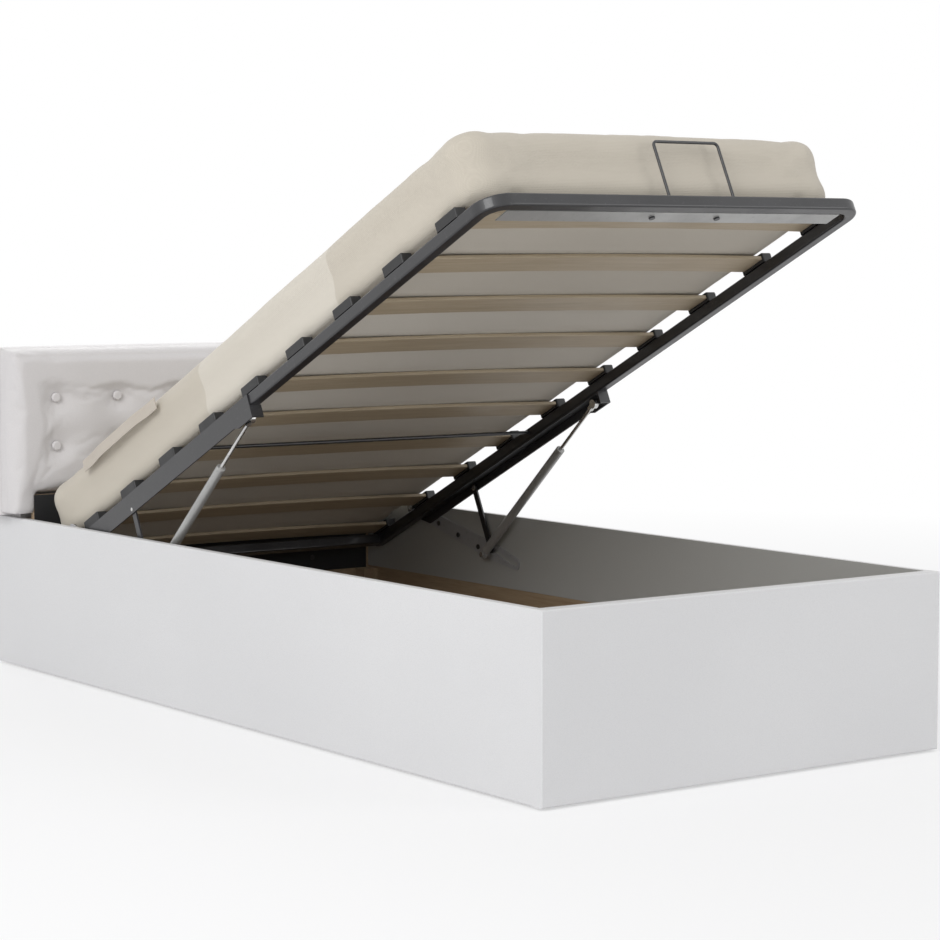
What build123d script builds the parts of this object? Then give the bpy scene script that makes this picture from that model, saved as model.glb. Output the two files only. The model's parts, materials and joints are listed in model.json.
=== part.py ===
from math import cos, degrees, atan2, radians, sin, hypot, asin, sqrt
import os

from build123d import *

# An ottoman bed for one person: a covered box, a headboard, and a mattress
# frame that tips up on gas springs. Millimetres, +Z up, the foot end at -Y,
# stored open, with the origin on the floor under the middle of the bed.

# Box
bed_width = 966
box_height = 350
glide_height = 4
cover = 1.5
side_board_thickness = 13
foot_board_thickness = 25
edge_round = 3
turn_down = 170

# Lengths from the outer face of the foot end
pad_front = 1949
pad_thickness = 65
back_board_thickness = 90
back_cover = 2

# Headboard
headboard_overhang = 32
headboard_height = 743
pad_above_box = 58
wing_above_box = 8
wing_step = 7
button_columns = 6
button_rows = 2
button_pitch_x = 160
button_pitch_z = 112
button_middle_z = 573
button_radius = 11
button_thickness = 7
tuft_radius = 42
tuft_depth = 13
pad_round = 16
tongue_bottom = 150
leg_width = 60
leg_place = 300
leg_bolt_margin = 60

# Head end of the box
end_board_recess = 10
end_board_thickness = 15
end_board_below_pad = 3

# Floor of the box
batten = 20
floor_sheet = 6
floor_gap = 1
block = 40
block_gap = 4.5
glide_radius = 12

# Lid, with heights from the hinge pin
open_angle = 25.6
hinge_from_foot = 1759
hinge_below_rim = 9
lid_foot_gap = 6
frame_end = 150
tube = 25
tube_wall = 1.5
tube_round = 4
corner_radius = 55
corner_straight = 20
slat_seat = -19
slat_count = 10
slat_pitch = 189
first_slat = 134
slat_width = 63
slat_thickness = 8
cap_height = 20
cap_length = 70
cap_depth = 27
slat_drop = 0.3
cross_rod_radius = 4
cross_rod_from_foot = 1174
strip_width = 40
strip_thickness = 2
retainer_pad_radius = 9
retainer_pad_bite = 2

# Mattress
mattress_thickness = 145
mattress_crown = 7
mattress_side_gap = 4
mattress_foot_gap = 38
mattress_head_gap = 6
mattress_edge = 32
mattress_low_edge = 16
mattress_corner = 60
mattress_waist = 5
soft_gap = 0.3
handle_start = 1262
handle_length = 362
handle_width = 26
handle_height = 112
handle_thickness = 2.5

# Mattress retainer
retainer_width = 165
retainer_top = 110
retainer_rod = 6
retainer_side = 67
retainer_gap = 1
retainer_slant = 44

# Lift mechanism, one on each side
plate = 3
bracket_gap = 2
hinge_pin_radius = 5
running_gap = 0.05
rail_front = 824
rail_depth = 44
rail_top = -21
rail_flange = 25
rail_nose_drop = 6
rail_nose = 60
rail_nose_slope = 15
rail_end = 60
ear_radius = 13
strut_top_along = -790
strut_top_height = -60
strut_foot_from_foot = 1436
strut_foot_drop = 86
strut_stud_radius = 4
cylinder_radius = 10
cylinder_wall = 2
rod_radius = 4
rod_shown = 150
eye_radius = 10
eye_width = 10
strut_gap = 1.5
piston_length = 14
piston_gap = 0.2
stay_top_along = -272
stay_top_height = -56
stay_length = 157
stay_foot_drop = 101
stay_width = 16
stay_thickness = 4
stay_gap = 0.5
stay_pin_radius = 4
slot_gap = 0.8
slot_steps = 8
bracket_margin = 14

# Screws
bolt_radius = 3
bolt_head_radius = 6
bolt_head = 1.6

# Worked out from the sizes above
headboard_width = bed_width + 2 * headboard_overhang
pad_bottom = box_height + pad_above_box
wing_bottom = box_height + wing_above_box
end_board_height = pad_bottom - end_board_below_pad
hinge_height = box_height - hinge_below_rim
strut_foot_height = hinge_height - strut_foot_drop
bed_length = pad_front + pad_thickness + back_board_thickness + back_cover
foot_y = -bed_length / 2
hinge_y = foot_y + hinge_from_foot
side_wall = side_board_thickness + 2 * cover
foot_wall = foot_board_thickness + 2 * cover
inner_half = bed_width / 2 - side_wall
foot_inner_y = foot_y + foot_wall
pad_front_y = foot_y + pad_front
pad_back_y = pad_front_y + pad_thickness
back_y = pad_back_y + back_board_thickness
board_bottom = glide_height + cover
board_top = box_height - cover
block_height = box_height - turn_down - board_bottom - block_gap
end_board_y = pad_front_y + end_board_recess
wing_inner = inner_half - wing_step
bracket_x = inner_half - plate / 2
rail_x = inner_half - plate - bracket_gap - plate / 2
tube_half = rail_x - plate / 2
frame_foot = lid_foot_gap + foot_wall - hinge_from_foot
tube_bottom = slat_seat - tube
mattress_bottom = slat_seat + cap_height + soft_gap
floor_top = board_bottom + batten + floor_sheet
tilt = radians(open_angle)
lid_plane = Plane(
    origin=(0, hinge_y, hinge_height),
    x_dir=(1, 0, 0),
    z_dir=(0, sin(tilt), cos(tilt)),
)
lid_axis = Axis(lid_plane.origin, lid_plane.z_dir)


def write(piece, name):
    piece.part.label = name
    export_step(piece.part, f"parts/{name}.step")


def lid_side(x):
    """Side view plane of the lid, X along the lid to the head, Y away from it."""
    return Plane(
        origin=(x, hinge_y, hinge_height),
        x_dir=(0, cos(tilt), -sin(tilt)),
        z_dir=(1, 0, 0),
    )


def box_side(x):
    """Side view plane of the box, X from the foot end to the head, Y up."""
    return Plane(origin=(x, foot_y, 0), x_dir=(0, 1, 0), z_dir=(1, 0, 0))


def lifted(along, height):
    """Where a lid point, given with the lid closed, stands when it is open."""
    y = along * cos(tilt) + height * sin(tilt)
    z = height * cos(tilt) - along * sin(tilt)
    return hinge_from_foot + y, hinge_height + z


def part_lifted(along, height, share):
    """The same point with the lid a share of the way from open to closed."""
    left = tilt * (1 - share)
    y = along * cos(left) + height * sin(left)
    z = height * cos(left) - along * sin(left)
    return hinge_from_foot + y, hinge_height + z


os.makedirs("parts", exist_ok=True)

# The stay hangs from the rail square to the open lid and folds forward as the lid closes
stay_open_way = 270 - open_angle
stay_drop = stay_top_height + stay_foot_drop
stay_closed_way = 180 + degrees(asin(stay_drop / stay_length))


def stay_foot(share):
    top_y, top_z = part_lifted(stay_top_along, stay_top_height, share)
    way = radians(stay_open_way + (stay_closed_way - stay_open_way) * share)
    return top_y + stay_length * cos(way), top_z + stay_length * sin(way)


# The gas spring from its stud on the box to its pin on the rail
strut_top = lifted(strut_top_along, strut_top_height)
strut_open = hypot(strut_top[0] - strut_foot_from_foot, strut_top[1] - strut_foot_height)
strut_way = degrees(atan2(strut_top[1] - strut_foot_height, strut_top[0] - strut_foot_from_foot))
strut_closed = hypot(
    hinge_from_foot + strut_top_along - strut_foot_from_foot,
    hinge_height + strut_top_height - strut_foot_height,
)
strut_closed_way = degrees(
    atan2(
        hinge_height + strut_top_height - strut_foot_height,
        hinge_from_foot + strut_top_along - strut_foot_from_foot,
    )
)
stay_top = lifted(stay_top_along, stay_top_height)
print("stay turns in the world", round(stay_closed_way - stay_open_way, 4))
print("stay top open", round(stay_top[0] + foot_y, 4), round(stay_top[1], 4))
print("strut turns", round(strut_closed_way - strut_way, 4))
print("strut way", round(strut_way, 5), "open", round(strut_open, 4), "closed", round(strut_closed, 4))


# Boards of the box
side_board_x = bed_width / 2 - cover - side_board_thickness / 2
side_wall_x = bed_width / 2 - side_wall / 2
side_board_end = foot_y + bed_length - cover
board_height = board_top - board_bottom
wall_height = box_height - glide_height
bolt_reach = 10
bracket_bolts = [
    (
        strut_foot_from_foot + share * (hinge_from_foot - strut_foot_from_foot),
        strut_foot_height + share * strut_foot_drop,
    )
    for share in (0.15, 0.4, 0.65, 0.88)
]
leg_bolt_heights = [tongue_bottom + leg_bolt_margin, end_board_height - leg_bolt_margin]
frame_bolt_places = [-rail_front * share for share in (0.85, 0.61, 0.36, 0.12)]

for side, hand in ((-1, "left"), (1, "right")):
    with BuildPart() as side_board:
        with BuildSketch(Plane.XY.offset(board_bottom)):
            with Locations((side * side_board_x, (foot_inner_y + side_board_end) / 2)):
                Rectangle(side_board_thickness, side_board_end - foot_inner_y)
        extrude(amount=board_height)
        with BuildSketch(box_side(side * (inner_half + cover))):
            with Locations(*bracket_bolts):
                Circle(bolt_radius)
        extrude(amount=side * bolt_reach, mode=Mode.SUBTRACT)
    write(side_board, f"side_board_{hand}")

    with BuildPart() as side_cover:
        with BuildSketch(Plane.XY.offset(glide_height)):
            with Locations((side * side_wall_x, (foot_inner_y + side_board_end + cover) / 2)):
                Rectangle(side_wall, side_board_end + cover - foot_inner_y)
        extrude(amount=wall_height)
        outer_edges = side_cover.edges().filter_by(Axis.Y).sort_by(Axis.X)
        outer_pair = outer_edges[-2:] if side > 0 else outer_edges[:2]
        fillet(outer_pair, edge_round)
        with BuildSketch(Plane.XY.offset(board_bottom)):
            with Locations((side * side_board_x, (foot_inner_y + side_board_end) / 2)):
                Rectangle(side_board_thickness, side_board_end - foot_inner_y)
        extrude(amount=board_height, mode=Mode.SUBTRACT)
        with BuildSketch(Plane.XY.offset(board_bottom)):
            with Locations((side * (inner_half + cover / 2), (foot_inner_y + side_board_end) / 2)):
                Rectangle(cover, side_board_end - foot_inner_y)
        extrude(amount=box_height - turn_down - board_bottom, mode=Mode.SUBTRACT)
        with BuildSketch(box_side(side * inner_half)):
            with Locations(*bracket_bolts):
                Circle(bolt_radius)
        extrude(amount=side * cover, mode=Mode.SUBTRACT)
    write(side_cover, f"side_cover_{hand}")

with BuildPart() as foot_board:
    with BuildSketch(Plane.XY.offset(board_bottom)):
        with Locations((0, foot_y + foot_wall / 2)):
            Rectangle(bed_width - 2 * cover, foot_board_thickness)
    extrude(amount=board_height)
write(foot_board, "foot_board")

with BuildPart() as foot_cover:
    with BuildSketch(Plane.XY.offset(glide_height)):
        with Locations((0, foot_y + foot_wall / 2)):
            Rectangle(bed_width, foot_wall)
    extrude(amount=wall_height)
    front_edges = foot_cover.faces().sort_by(Axis.Y)[0].edges()
    fillet(front_edges, edge_round)
    with BuildSketch(Plane.XY.offset(board_bottom)):
        with Locations((0, foot_y + foot_wall / 2)):
            Rectangle(bed_width - 2 * cover, foot_board_thickness)
    extrude(amount=board_height, mode=Mode.SUBTRACT)
    with BuildSketch(Plane.XY.offset(board_bottom)):
        with Locations((0, foot_inner_y - cover / 2)):
            Rectangle(2 * (inner_half + cover), cover)
    extrude(amount=box_height - turn_down - board_bottom, mode=Mode.SUBTRACT)
write(foot_cover, "foot_cover")

# Head end board, narrower above where the side covers turn down inside
with BuildPart() as head_end_board:
    with BuildSketch(Plane.XY.offset(board_bottom)):
        with Locations((0, end_board_y + end_board_thickness / 2)):
            Rectangle(2 * (inner_half + cover), end_board_thickness)
    extrude(amount=box_height - turn_down - board_bottom)
    with BuildSketch(Plane.XY.offset(board_bottom)):
        with Locations((0, end_board_y + end_board_thickness / 2)):
            Rectangle(2 * inner_half, end_board_thickness)
    extrude(amount=box_height - board_bottom)
    with BuildSketch(Plane.XY.offset(board_bottom)):
        with Locations((0, end_board_y + end_board_thickness / 2)):
            Rectangle(2 * (wing_inner - soft_gap), end_board_thickness)
    extrude(amount=end_board_height - board_bottom)
    for leg_x in (-leg_place, leg_place):
        with BuildSketch(Plane.XZ.offset(-end_board_y)):
            with Locations(*[(leg_x, z) for z in leg_bolt_heights]):
                Circle(bolt_radius)
        extrude(amount=-end_board_thickness, mode=Mode.SUBTRACT)
write(head_end_board, "head_end_board")

lining_bottom = board_bottom + block_height
with BuildPart() as head_end_lining:
    with BuildSketch(Plane.XY.offset(lining_bottom)):
        with Locations((0, end_board_y - cover / 2)):
            Rectangle(2 * (wing_inner - soft_gap), cover)
    extrude(amount=end_board_height - lining_bottom)
    for leg_x in (-leg_place, leg_place):
        with BuildSketch(Plane.XZ.offset(-end_board_y + cover)):
            with Locations(*[(leg_x, z) for z in leg_bolt_heights]):
                Circle(bolt_radius)
        extrude(amount=-cover, mode=Mode.SUBTRACT)
write(head_end_lining, "head_end_lining")

# Blocks in the four corners, battens and the two floor sheets
block_x = inner_half + cover - block / 2
foot_block_y = foot_inner_y - cover + block / 2
head_block_y = end_board_y - block / 2
with BuildPart() as corner_blocks:
    with BuildSketch(Plane.XY.offset(board_bottom)):
        with Locations(*[(x, y) for x in (-block_x, block_x) for y in (foot_block_y, head_block_y)]):
            Rectangle(block, block)
    extrude(amount=block_height)
write(corner_blocks, "corner_blocks")

batten_x = inner_half + cover - batten / 2
batten_start = foot_block_y + block / 2
batten_end = head_block_y - block / 2
for side, hand in ((-1, "left"), (1, "right")):
    with BuildPart() as side_batten:
        with BuildSketch(Plane.XY.offset(board_bottom)):
            with Locations((side * batten_x, (batten_start + batten_end) / 2)):
                Rectangle(batten, batten_end - batten_start)
        extrude(amount=batten)
    write(side_batten, f"side_batten_{hand}")

floor_start = foot_inner_y - cover
floor_end = end_board_y
floor_middle = (floor_start + floor_end) / 2
floor_length = floor_end - floor_start
cross_places = [floor_start + floor_length * k / 4 for k in (1, 2, 3)]
with BuildPart() as cross_battens:
    with BuildSketch(Plane.XY.offset(board_bottom)):
        with Locations(*[(0, y) for y in cross_places]):
            Rectangle(2 * (batten_x - batten / 2), 2 * batten)
    extrude(amount=batten)
write(cross_battens, "cross_battens")

sheet_bottom = board_bottom + batten
for end, y0, y1 in (
    ("foot", floor_start, floor_middle - floor_gap / 2),
    ("head", floor_middle + floor_gap / 2, floor_end),
):
    with BuildPart() as floor_sheet_piece:
        with BuildSketch(Plane.XY.offset(sheet_bottom)):
            with Locations((0, (y0 + y1) / 2)):
                Rectangle(2 * (inner_half + cover), y1 - y0)
            block_y = foot_block_y if end == "foot" else head_block_y
            with Locations((-block_x, block_y), (block_x, block_y)):
                Rectangle(block, block, mode=Mode.SUBTRACT)
        extrude(amount=floor_sheet)
    write(floor_sheet_piece, f"floor_sheet_{end}")

with BuildPart() as glides:
    with BuildSketch():
        with Locations(*[(x, y) for x in (-block_x, block_x) for y in (foot_block_y, head_block_y)]):
            Circle(glide_radius)
        with Locations(*[(x, y) for x in (-batten_x + 4, 0, batten_x - 4) for y in cross_places]):
            Circle(glide_radius)
    extrude(amount=board_bottom)
write(glides, "glides")

# Headboard
board_half = headboard_width / 2 - back_cover
board_top_z = headboard_height - back_cover
with BuildPart() as headboard_board:
    with BuildSketch(Plane.XZ.offset(-pad_back_y)):
        with Locations((0, (wing_bottom + board_top_z) / 2)):
            Rectangle(2 * board_half, board_top_z - wing_bottom)
        with Locations((0, (tongue_bottom + wing_bottom) / 2)):
            Rectangle(2 * inner_half, wing_bottom - tongue_bottom)
    extrude(amount=-back_board_thickness)
    with BuildSketch(Plane.XZ.offset(-pad_back_y)):
        with Locations(*[(x, z) for x in (-leg_place, leg_place) for z in leg_bolt_heights]):
            Circle(bolt_radius)
    extrude(amount=-2 * bolt_reach, mode=Mode.SUBTRACT)
write(headboard_board, "headboard_board")

with BuildPart() as headboard_cover:
    with BuildSketch(Plane.XZ.offset(-pad_back_y)):
        with Locations((0, (wing_bottom + headboard_height) / 2)):
            Rectangle(headboard_width, headboard_height - wing_bottom)
    extrude(amount=-back_board_thickness - back_cover)
    back_edges = headboard_cover.faces().sort_by(Axis.Y)[-1].edges()
    fillet(back_edges, back_cover)
    with BuildSketch(Plane.XZ.offset(-pad_back_y)):
        with Locations((0, (wing_bottom + board_top_z) / 2)):
            Rectangle(2 * board_half, board_top_z - wing_bottom)
    extrude(amount=-back_board_thickness, mode=Mode.SUBTRACT)
write(headboard_cover, "headboard_cover")

leg_front = end_board_y + end_board_thickness
leg_depth = pad_back_y - leg_front
with BuildPart() as headboard_legs:
    with BuildSketch(Plane.XY.offset(board_bottom)):
        with Locations((-leg_place, leg_front + leg_depth / 2), (leg_place, leg_front + leg_depth / 2)):
            Rectangle(leg_width, leg_depth)
    extrude(amount=end_board_height - board_bottom)
    with BuildSketch(Plane.XZ.offset(-leg_front)):
        with Locations(*[(x, z) for x in (-leg_place, leg_place) for z in leg_bolt_heights]):
            Circle(bolt_radius)
    extrude(amount=-leg_depth, mode=Mode.SUBTRACT)
write(headboard_legs, "headboard_legs")

tuft_sphere = (tuft_radius**2 + tuft_depth**2) / (2 * tuft_depth)
first_column = -(button_columns - 1) / 2 * button_pitch_x
first_row = button_middle_z - (button_rows - 1) / 2 * button_pitch_z
button_places = [
    (first_column + i * button_pitch_x, first_row + j * button_pitch_z)
    for i in range(button_columns)
    for j in range(button_rows)
]
wing_width = headboard_width / 2 - wing_inner
with BuildPart() as headboard_pad:
    with BuildSketch(Plane.XZ.offset(-pad_back_y + soft_gap)):
        with Locations((0, (pad_bottom + headboard_height) / 2)):
            Rectangle(headboard_width, headboard_height - pad_bottom)
        with Locations(*[(s * (headboard_width - wing_width) / 2, (pad_bottom + wing_bottom) / 2) for s in (-1, 1)]):
            Rectangle(wing_width, pad_bottom - wing_bottom)
    extrude(amount=pad_thickness - soft_gap)
    pad_face_edges = headboard_pad.faces().sort_by(Axis.Y)[0].edges()
    fillet(pad_face_edges, pad_round)
    with Locations(*[(x, pad_front_y + tuft_depth - tuft_sphere, z) for x, z in button_places]):
        Sphere(tuft_sphere, mode=Mode.SUBTRACT)
write(headboard_pad, "headboard_pad")

button_back = pad_front_y + tuft_depth - button_radius**2 / (2 * tuft_sphere) - soft_gap
with BuildPart() as headboard_buttons:
    with BuildSketch(Plane.XZ.offset(-button_back)):
        with Locations(*button_places):
            Circle(button_radius)
    extrude(amount=button_thickness)
    fillet(headboard_buttons.faces().filter_by(Axis.Y).group_by(Axis.Y)[0].edges(), button_thickness / 2)
write(headboard_buttons, "headboard_buttons")

# Lift mechanism
with BuildPart() as box_bolts:
    for side in (-1, 1):
        with BuildSketch(box_side(side * (inner_half - plate))):
            with Locations(*bracket_bolts):
                Circle(bolt_radius)
        extrude(amount=side * (plate + cover + bolt_reach))
        with BuildSketch(box_side(side * (inner_half - plate))):
            with Locations(*bracket_bolts):
                Circle(bolt_head_radius)
        extrude(amount=-side * bolt_head)
    lining_face = end_board_y - cover
    leg_bolt_places = [(x, z) for x in (-leg_place, leg_place) for z in leg_bolt_heights]
    with BuildSketch(Plane.XZ.offset(-lining_face)):
        with Locations(*leg_bolt_places):
            Circle(bolt_radius)
    extrude(amount=-(cover + end_board_thickness + leg_depth + 2 * bolt_reach))
    with BuildSketch(Plane.XZ.offset(-lining_face)):
        with Locations(*leg_bolt_places):
            Circle(bolt_head_radius)
    extrude(amount=bolt_head)
write(box_bolts, "box_bolts")

stay_x = tube_half - stay_gap - stay_thickness / 2
strut_x = stay_x - stay_thickness / 2 - strut_gap - cylinder_radius
slot_points = [stay_foot(k / slot_steps) for k in range(slot_steps + 1)]
hinge_pin_head = 1.5
hinge_pin_head_radius = 8

for side, hand in ((-1, "left"), (1, "right")):
    with BuildPart() as base_bracket:
        with BuildSketch(box_side(side * bracket_x)) as outline:
            with Locations(slot_points[0], slot_points[-1], (strut_foot_from_foot, strut_foot_height),
                           (hinge_from_foot, hinge_height)):
                Circle(bracket_margin)
            make_hull()
            with Locations((hinge_from_foot, hinge_height)):
                Circle(hinge_pin_radius, mode=Mode.SUBTRACT)
            with Locations((strut_foot_from_foot, strut_foot_height)):
                Circle(strut_stud_radius, mode=Mode.SUBTRACT)
            with Locations(*bracket_bolts):
                Circle(bolt_radius, mode=Mode.SUBTRACT)
            for (ya, za), (yb, zb) in zip(slot_points[:-1], slot_points[1:]):
                with Locations(Location(((ya + yb) / 2, (za + zb) / 2, 0))):
                    SlotCenterToCenter(
                        hypot(yb - ya, zb - za),
                        2 * (stay_pin_radius + slot_gap),
                        rotation=degrees(atan2(zb - za, yb - ya)),
                        mode=Mode.SUBTRACT,
                    )
        extrude(amount=plate / 2, both=True)
    write(base_bracket, f"base_bracket_{hand}")

with BuildPart() as hinge_pins:
    for side in (-1, 1):
        with BuildSketch(box_side(side * inner_half)):
            with Locations((hinge_from_foot, hinge_height)):
                Circle(hinge_pin_radius)
        extrude(amount=-side * (inner_half - tube_half + soft_gap))
        with BuildSketch(box_side(side * (tube_half - soft_gap))):
            with Locations((hinge_from_foot, hinge_height)):
                Circle(hinge_pin_head_radius)
        extrude(amount=-side * hinge_pin_head)
write(hinge_pins, "hinge_pins")

with BuildPart() as strut_studs:
    for side in (-1, 1):
        with BuildSketch(box_side(side * inner_half)):
            with Locations((strut_foot_from_foot, strut_foot_height)):
                Circle(strut_stud_radius)
        extrude(amount=-side * (inner_half - strut_x + eye_width / 2 + soft_gap))
        with BuildSketch(box_side(side * (strut_x - eye_width / 2 - soft_gap))):
            with Locations((strut_foot_from_foot, strut_foot_height)):
                Circle(strut_stud_radius + 2)
        extrude(amount=-side * hinge_pin_head)
write(strut_studs, "strut_studs")

# Frame of the lid
tube_middle = slat_seat - tube / 2
frame_leg = frame_foot + corner_radius + corner_straight


def tube_section():
    RectangleRounded(tube, tube, tube_round)
    RectangleRounded(tube - 2 * tube_wall, tube - 2 * tube_wall, tube_round - tube_wall, mode=Mode.SUBTRACT)


tube_x = tube_half - tube / 2
with BuildPart() as foot_tube:
    with BuildLine(lid_plane.offset(tube_middle)) as foot_path:
        FilletPolyline(
            (-tube_x, frame_leg),
            (-tube_x, frame_foot + tube / 2),
            (tube_x, frame_foot + tube / 2),
            (tube_x, frame_leg),
            radius=corner_radius - tube / 2,
        )
    with BuildSketch(Plane(origin=foot_path.line @ 0, x_dir=(1, 0, 0), z_dir=foot_path.line % 0)):
        tube_section()
    sweep(path=foot_path.line)
write(foot_tube, "foot_tube")

with BuildPart() as head_tube:
    with BuildSketch(lid_side(-tube_half + tube)):
        with Locations((frame_end - tube / 2, tube_middle)):
            tube_section()
    extrude(amount=2 * (tube_half - tube))
write(head_tube, "head_tube")

rod_height = tube_middle + 3
with BuildPart() as cross_rod:
    with BuildSketch(lid_side(-tube_half + tube)):
        with Locations((frame_foot + cross_rod_from_foot, rod_height)):
            Circle(cross_rod_radius)
    extrude(amount=2 * (tube_half - tube))
write(cross_rod, "cross_rod")

# The strip under the foot end lies against the rounded lower corner of the tube
strip_start = frame_foot + tube - tube_round + sqrt(tube_round**2 - (tube_round - strip_thickness) ** 2)
strip_middle = strip_start + strip_width / 2
strip_half = tube_half - corner_radius
retainer_leg = retainer_width / 2 - retainer_rod / 2
retainer_legs = [retainer_side - retainer_leg, retainer_side + retainer_leg]
retainer_bolts = [(x - retainer_slant, strip_middle) for x in retainer_legs]
with BuildPart() as foot_strip:
    with BuildSketch(lid_plane.offset(tube_bottom)):
        with Locations((0, strip_middle)):
            Rectangle(2 * strip_half, strip_width)
        with Locations(*retainer_bolts):
            Circle(bolt_radius, mode=Mode.SUBTRACT)
    extrude(amount=strip_thickness)
write(foot_strip, "foot_strip")

# The retainer stands between the foot tube and the mattress, its feet bolted down on the strip
retainer_low = tube_bottom + strip_thickness + retainer_rod / 2 + 0.2
retainer_back = frame_foot + tube + retainer_gap + retainer_rod / 2
foot_plate_top = tube_bottom + strip_thickness + plate
foot_slope = hypot(retainer_slant, strip_middle - retainer_back)
foot_share = (retainer_pad_radius - retainer_pad_bite) / foot_slope
foot_ends = [
    (x + foot_share * retainer_slant, y - foot_share * (strip_middle - retainer_back), retainer_low)
    for x, y in retainer_bolts
]
with BuildPart() as retainer:
    with BuildLine() as retainer_path:
        corners = [
            foot_ends[0],
            (retainer_legs[0], retainer_back, retainer_low),
            (retainer_legs[0], retainer_back, retainer_top - retainer_rod / 2),
            (retainer_legs[1], retainer_back, retainer_top - retainer_rod / 2),
            (retainer_legs[1], retainer_back, retainer_low),
            foot_ends[1],
        ]
        FilletPolyline(*[lid_plane.from_local_coords(Vector(*c)) for c in corners], radius=1.5 * retainer_rod)
    with BuildSketch(Plane(origin=retainer_path.line @ 0, x_dir=(0, -sin(tilt), -cos(tilt)), z_dir=retainer_path.line % 0)):
        Circle(retainer_rod / 2)
    sweep(path=retainer_path.line)
    with BuildSketch(lid_plane.offset(tube_bottom + strip_thickness)):
        with Locations(*retainer_bolts):
            Circle(retainer_pad_radius)
            Circle(bolt_radius, mode=Mode.SUBTRACT)
    extrude(amount=plate)
write(retainer, "retainer")

# Side tubes, and the rails bolted under them that carry the hinge and the springs
rail_bottom = rail_top - rail_depth
flange_x = tube_half - rail_flange / 2
rail_bolts = [(flange_x, along) for along in frame_bolt_places]
for side, hand in ((-1, "left"), (1, "right")):
    with BuildPart() as side_tube:
        with BuildSketch(Plane(lid_plane.from_local_coords(Vector(side * tube_x, frame_leg, tube_middle)),
                               x_dir=(1, 0, 0), z_dir=(0, cos(tilt), -sin(tilt)))):
            tube_section()
        extrude(amount=frame_end - frame_leg)
        with BuildSketch(lid_plane.offset(tube_bottom)):
            with Locations(*[(side * x, along) for x, along in rail_bolts]):
                Circle(bolt_radius)
        extrude(amount=tube_wall, mode=Mode.SUBTRACT)
    write(side_tube, f"side_tube_{hand}")

    with BuildPart() as rail:
        with BuildSketch(lid_side(side * rail_x)):
            with BuildLine():
                Polyline(
                    (-rail_front, rail_top),
                    (-rail_front, rail_bottom - rail_nose_drop),
                    (-rail_front + rail_nose, rail_bottom - rail_nose_drop),
                    (-rail_front + rail_nose + rail_nose_slope, rail_bottom),
                    (-rail_end, rail_bottom),
                    (ear_radius, -ear_radius),
                    (ear_radius, 0),
                    (-ear_radius, 0),
                    (-rail_end, rail_top),
                    close=True,
                )
            make_face()
            Circle(ear_radius)
            Circle(hinge_pin_radius + running_gap, mode=Mode.SUBTRACT)
            with Locations((stay_top_along, stay_top_height)):
                Circle(stay_pin_radius, mode=Mode.SUBTRACT)
        extrude(amount=plate / 2, both=True)
        with BuildSketch(lid_plane.offset(tube_bottom - plate)):
            with Locations((side * flange_x, (-rail_front - rail_end) / 2)):
                Rectangle(rail_flange, rail_front - rail_end)
            with Locations(*[(side * x, along) for x, along in rail_bolts]):
                Circle(bolt_radius, mode=Mode.SUBTRACT)
        extrude(amount=plate)
        with BuildSketch(lid_plane.offset(rail_bottom - rail_nose_drop)):
            with Locations((side * flange_x, -rail_front + plate / 2)):
                Rectangle(rail_flange, plate)
        extrude(amount=tube_bottom - rail_bottom + rail_nose_drop)
    write(rail, f"rail_{hand}")

nut = 4
with BuildPart() as frame_bolts:
    with BuildSketch(lid_plane.offset(tube_bottom - plate)):
        with Locations(*[(side * x, along) for side in (-1, 1) for x, along in rail_bolts]):
            Circle(bolt_radius)
    extrude(amount=plate + bolt_reach)
    with BuildSketch(lid_plane.offset(tube_bottom - plate)):
        with Locations(*[(side * x, along) for side in (-1, 1) for x, along in rail_bolts]):
            Circle(bolt_head_radius)
    extrude(amount=-bolt_head)
    with BuildSketch(lid_plane.offset(tube_bottom)):
        with Locations(*retainer_bolts):
            Circle(bolt_radius)
    extrude(amount=foot_plate_top - tube_bottom + nut + 1)
    with BuildSketch(lid_plane.offset(tube_bottom)):
        with Locations(*retainer_bolts):
            Circle(bolt_head_radius)
    extrude(amount=-2 * bolt_head)
    with BuildSketch(lid_plane.offset(foot_plate_top)):
        with Locations(*retainer_bolts):
            RegularPolygon(bolt_head_radius, 6)
    extrude(amount=nut)
write(frame_bolts, "frame_bolts")

# Slats, bowed upwards between plastic caps on the side tubes
cap_reach = 22
slat_half = tube_half - cap_depth + cap_reach
slat_top = slat_seat + cap_height - slat_drop
slat_bow = 5.7
slat_end_top = slat_top - slat_bow
slat_places = [frame_foot + first_slat + slat_pitch * i for i in range(slat_count)]
slat_plane = Plane(
    origin=(0, hinge_y, hinge_height),
    x_dir=(1, 0, 0),
    z_dir=(0, -cos(tilt), sin(tilt)),
)
for i, along in enumerate(slat_places):
    with BuildPart() as slat:
        with BuildSketch(slat_plane.offset(-along - slat_width / 2)):
            with BuildLine():
                ThreePointArc((-slat_half, slat_end_top), (0, slat_top), (slat_half, slat_end_top))
                Line((slat_half, slat_end_top), (slat_half, slat_end_top - slat_thickness))
                ThreePointArc(
                    (slat_half, slat_end_top - slat_thickness),
                    (0, slat_top - slat_thickness),
                    (-slat_half, slat_end_top - slat_thickness),
                )
                Line((-slat_half, slat_end_top - slat_thickness), (-slat_half, slat_end_top))
            make_face()
        extrude(amount=slat_width)
        fillet(slat.edges().filter_by(Axis.Y, reverse=True).filter_by(GeomType.CIRCLE), 2)
    write(slat, f"slat_{i + 1:02d}")

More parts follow.
